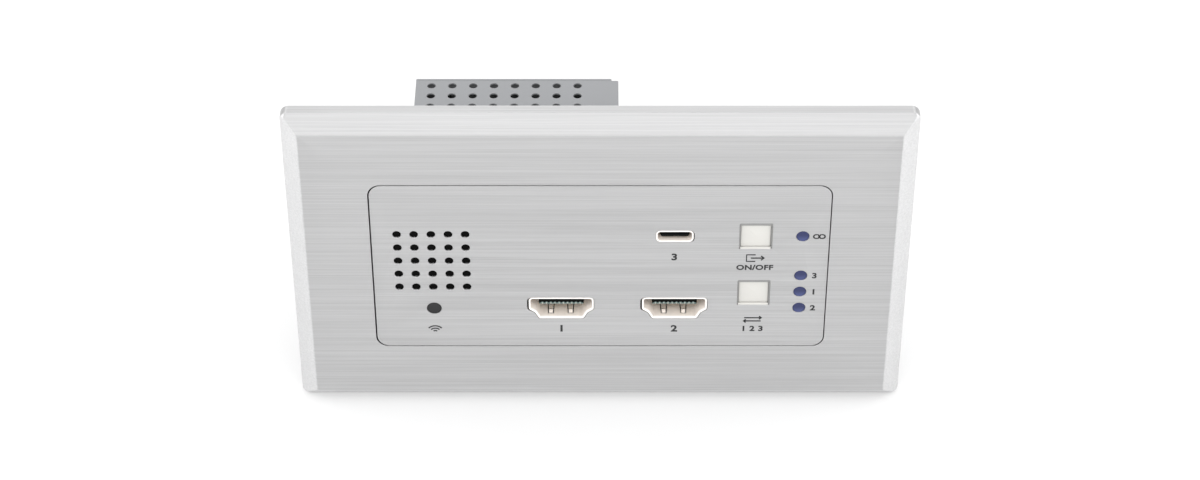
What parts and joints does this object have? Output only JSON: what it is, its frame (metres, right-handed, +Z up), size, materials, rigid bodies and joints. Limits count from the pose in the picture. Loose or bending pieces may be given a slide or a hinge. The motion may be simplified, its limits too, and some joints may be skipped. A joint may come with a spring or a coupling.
{
  "type": "wall plate transmitter",
  "caption": "Bevelled wall plate that sends video over a network cable, with video and type-C sockets, push buttons, lamps, an air grille and a vented housing behind.",
  "frame": {"origin": "midway between the two fixing screws, in the plane of the wall", "axes": "+X to the right seen from the room, +Y into the wall, +Z up; the front faces -Y"},
  "size_m": [0.146, 0.0397, 0.086],
  "materials": {
    "brushed_aluminium": "satin, brushed from left to right",
    "spring_steel": "plain spring steel",
    "zinc_steel": "zinc plated",
    "screw_steel": "nickel plated",
    "filter_foam": "fine open foam",
    "dark_window": "dark, clear only to infrared light",
    "receiver_black": "moulded",
    "lamp_plastic": "blue-violet, translucent",
    "diode_white": "moulded",
    "button_white": "warm white, fine grain",
    "plunger_white": "moulded",
    "switch_black": "moulded",
    "socket_shell": "bright nickel plated",
    "socket_black": "moulded",
    "contact_gold": "gold plated",
    "board_green": "glass-fibre board with green lacquer",
    "spacer_nylon": "moulded",
    "plug_black": "moulded",
    "chip_black": "moulded",
    "can_silver": "satin",
    "thermal_grey": "soft pad",
    "sink_black": "black anodised",
    "housing_grey": "fine matt grey",
    "jack_screen": "nickel plated",
    "header_green": "moulded"
  },
  "bodies": {
    "plate": {"surround": "brushed_aluminium", "surround_clips": "spring_steel", "mounting_plate": "zinc_steel", "face_panel": "brushed_aluminium", "panel_posts": "zinc_steel", "panel_screws": "screw_steel", "dust_filter": "filter_foam", "remote_window": "dark_window", "remote_receiver": "receiver_black", "lamp_diodes": "diode_white", "button_guide": "switch_black", "type_c_shell": "socket_shell", "type_c_tongue": "socket_black", "type_c_contacts": "contact_gold", "control_board": "board_green", "control_spacers": "spacer_nylon", "control_plug": "plug_black", "main_board": "board_green", "board_posts": "zinc_steel", "stack_posts": "zinc_steel", "board_screws": "screw_steel", "transmitter_board": "board_green", "board_link": "plug_black", "video_chip": "chip_black", "line_magnetics": "chip_black", "power_inductor": "chip_black", "capacitors": "can_silver", "transmitter_chip": "chip_black", "thermal_pad": "thermal_grey", "heat_sink": "sink_black", "vented_box": "housing_grey", "rear_cover": "housing_grey", "cover_screws": "screw_steel", "connector_box": "housing_grey", "housing_screws": "screw_steel", "network_jack_shell": "jack_screen", "network_jack_insert": "socket_black", "network_jack_contacts": "contact_gold", "power_header": "header_green", "control_header": "header_green", "header_pins": "contact_gold", "earth_screw": "screw_steel", "earth_nut": "screw_steel", "link_lamp_lens": "lamp_plastic", "type_c_lamp_lens": "lamp_plastic", "video_1_lamp_lens": "lamp_plastic", "video_2_lamp_lens": "lamp_plastic", "output_switch_body": "switch_black", "auto_switch_body": "switch_black", "video_in_1_shell": "socket_shell", "video_in_1_tongue": "socket_black", "video_in_1_contacts": "contact_gold", "video_in_2_shell": "socket_shell", "video_in_2_tongue": "socket_black", "video_in_2_contacts": "contact_gold"},
    "output_button": {"output_button_cap": "button_white", "output_switch_plunger": "plunger_white"},
    "auto_button": {"auto_button_cap": "button_white", "auto_switch_plunger": "plunger_white"}
  },
  "joints": [
    {"name": "output_button_press", "type": "slide", "parent": "plate", "child": "output_button", "axis": [0, 1, 0], "range_m": [0, 0.0006], "stiffness_N_per_m": 1500},
    {"name": "auto_button_press", "type": "slide", "parent": "plate", "child": "auto_button", "axis": [0, 1, 0], "range_m": [0, 0.0006], "stiffness_N_per_m": 1500}
  ]
}
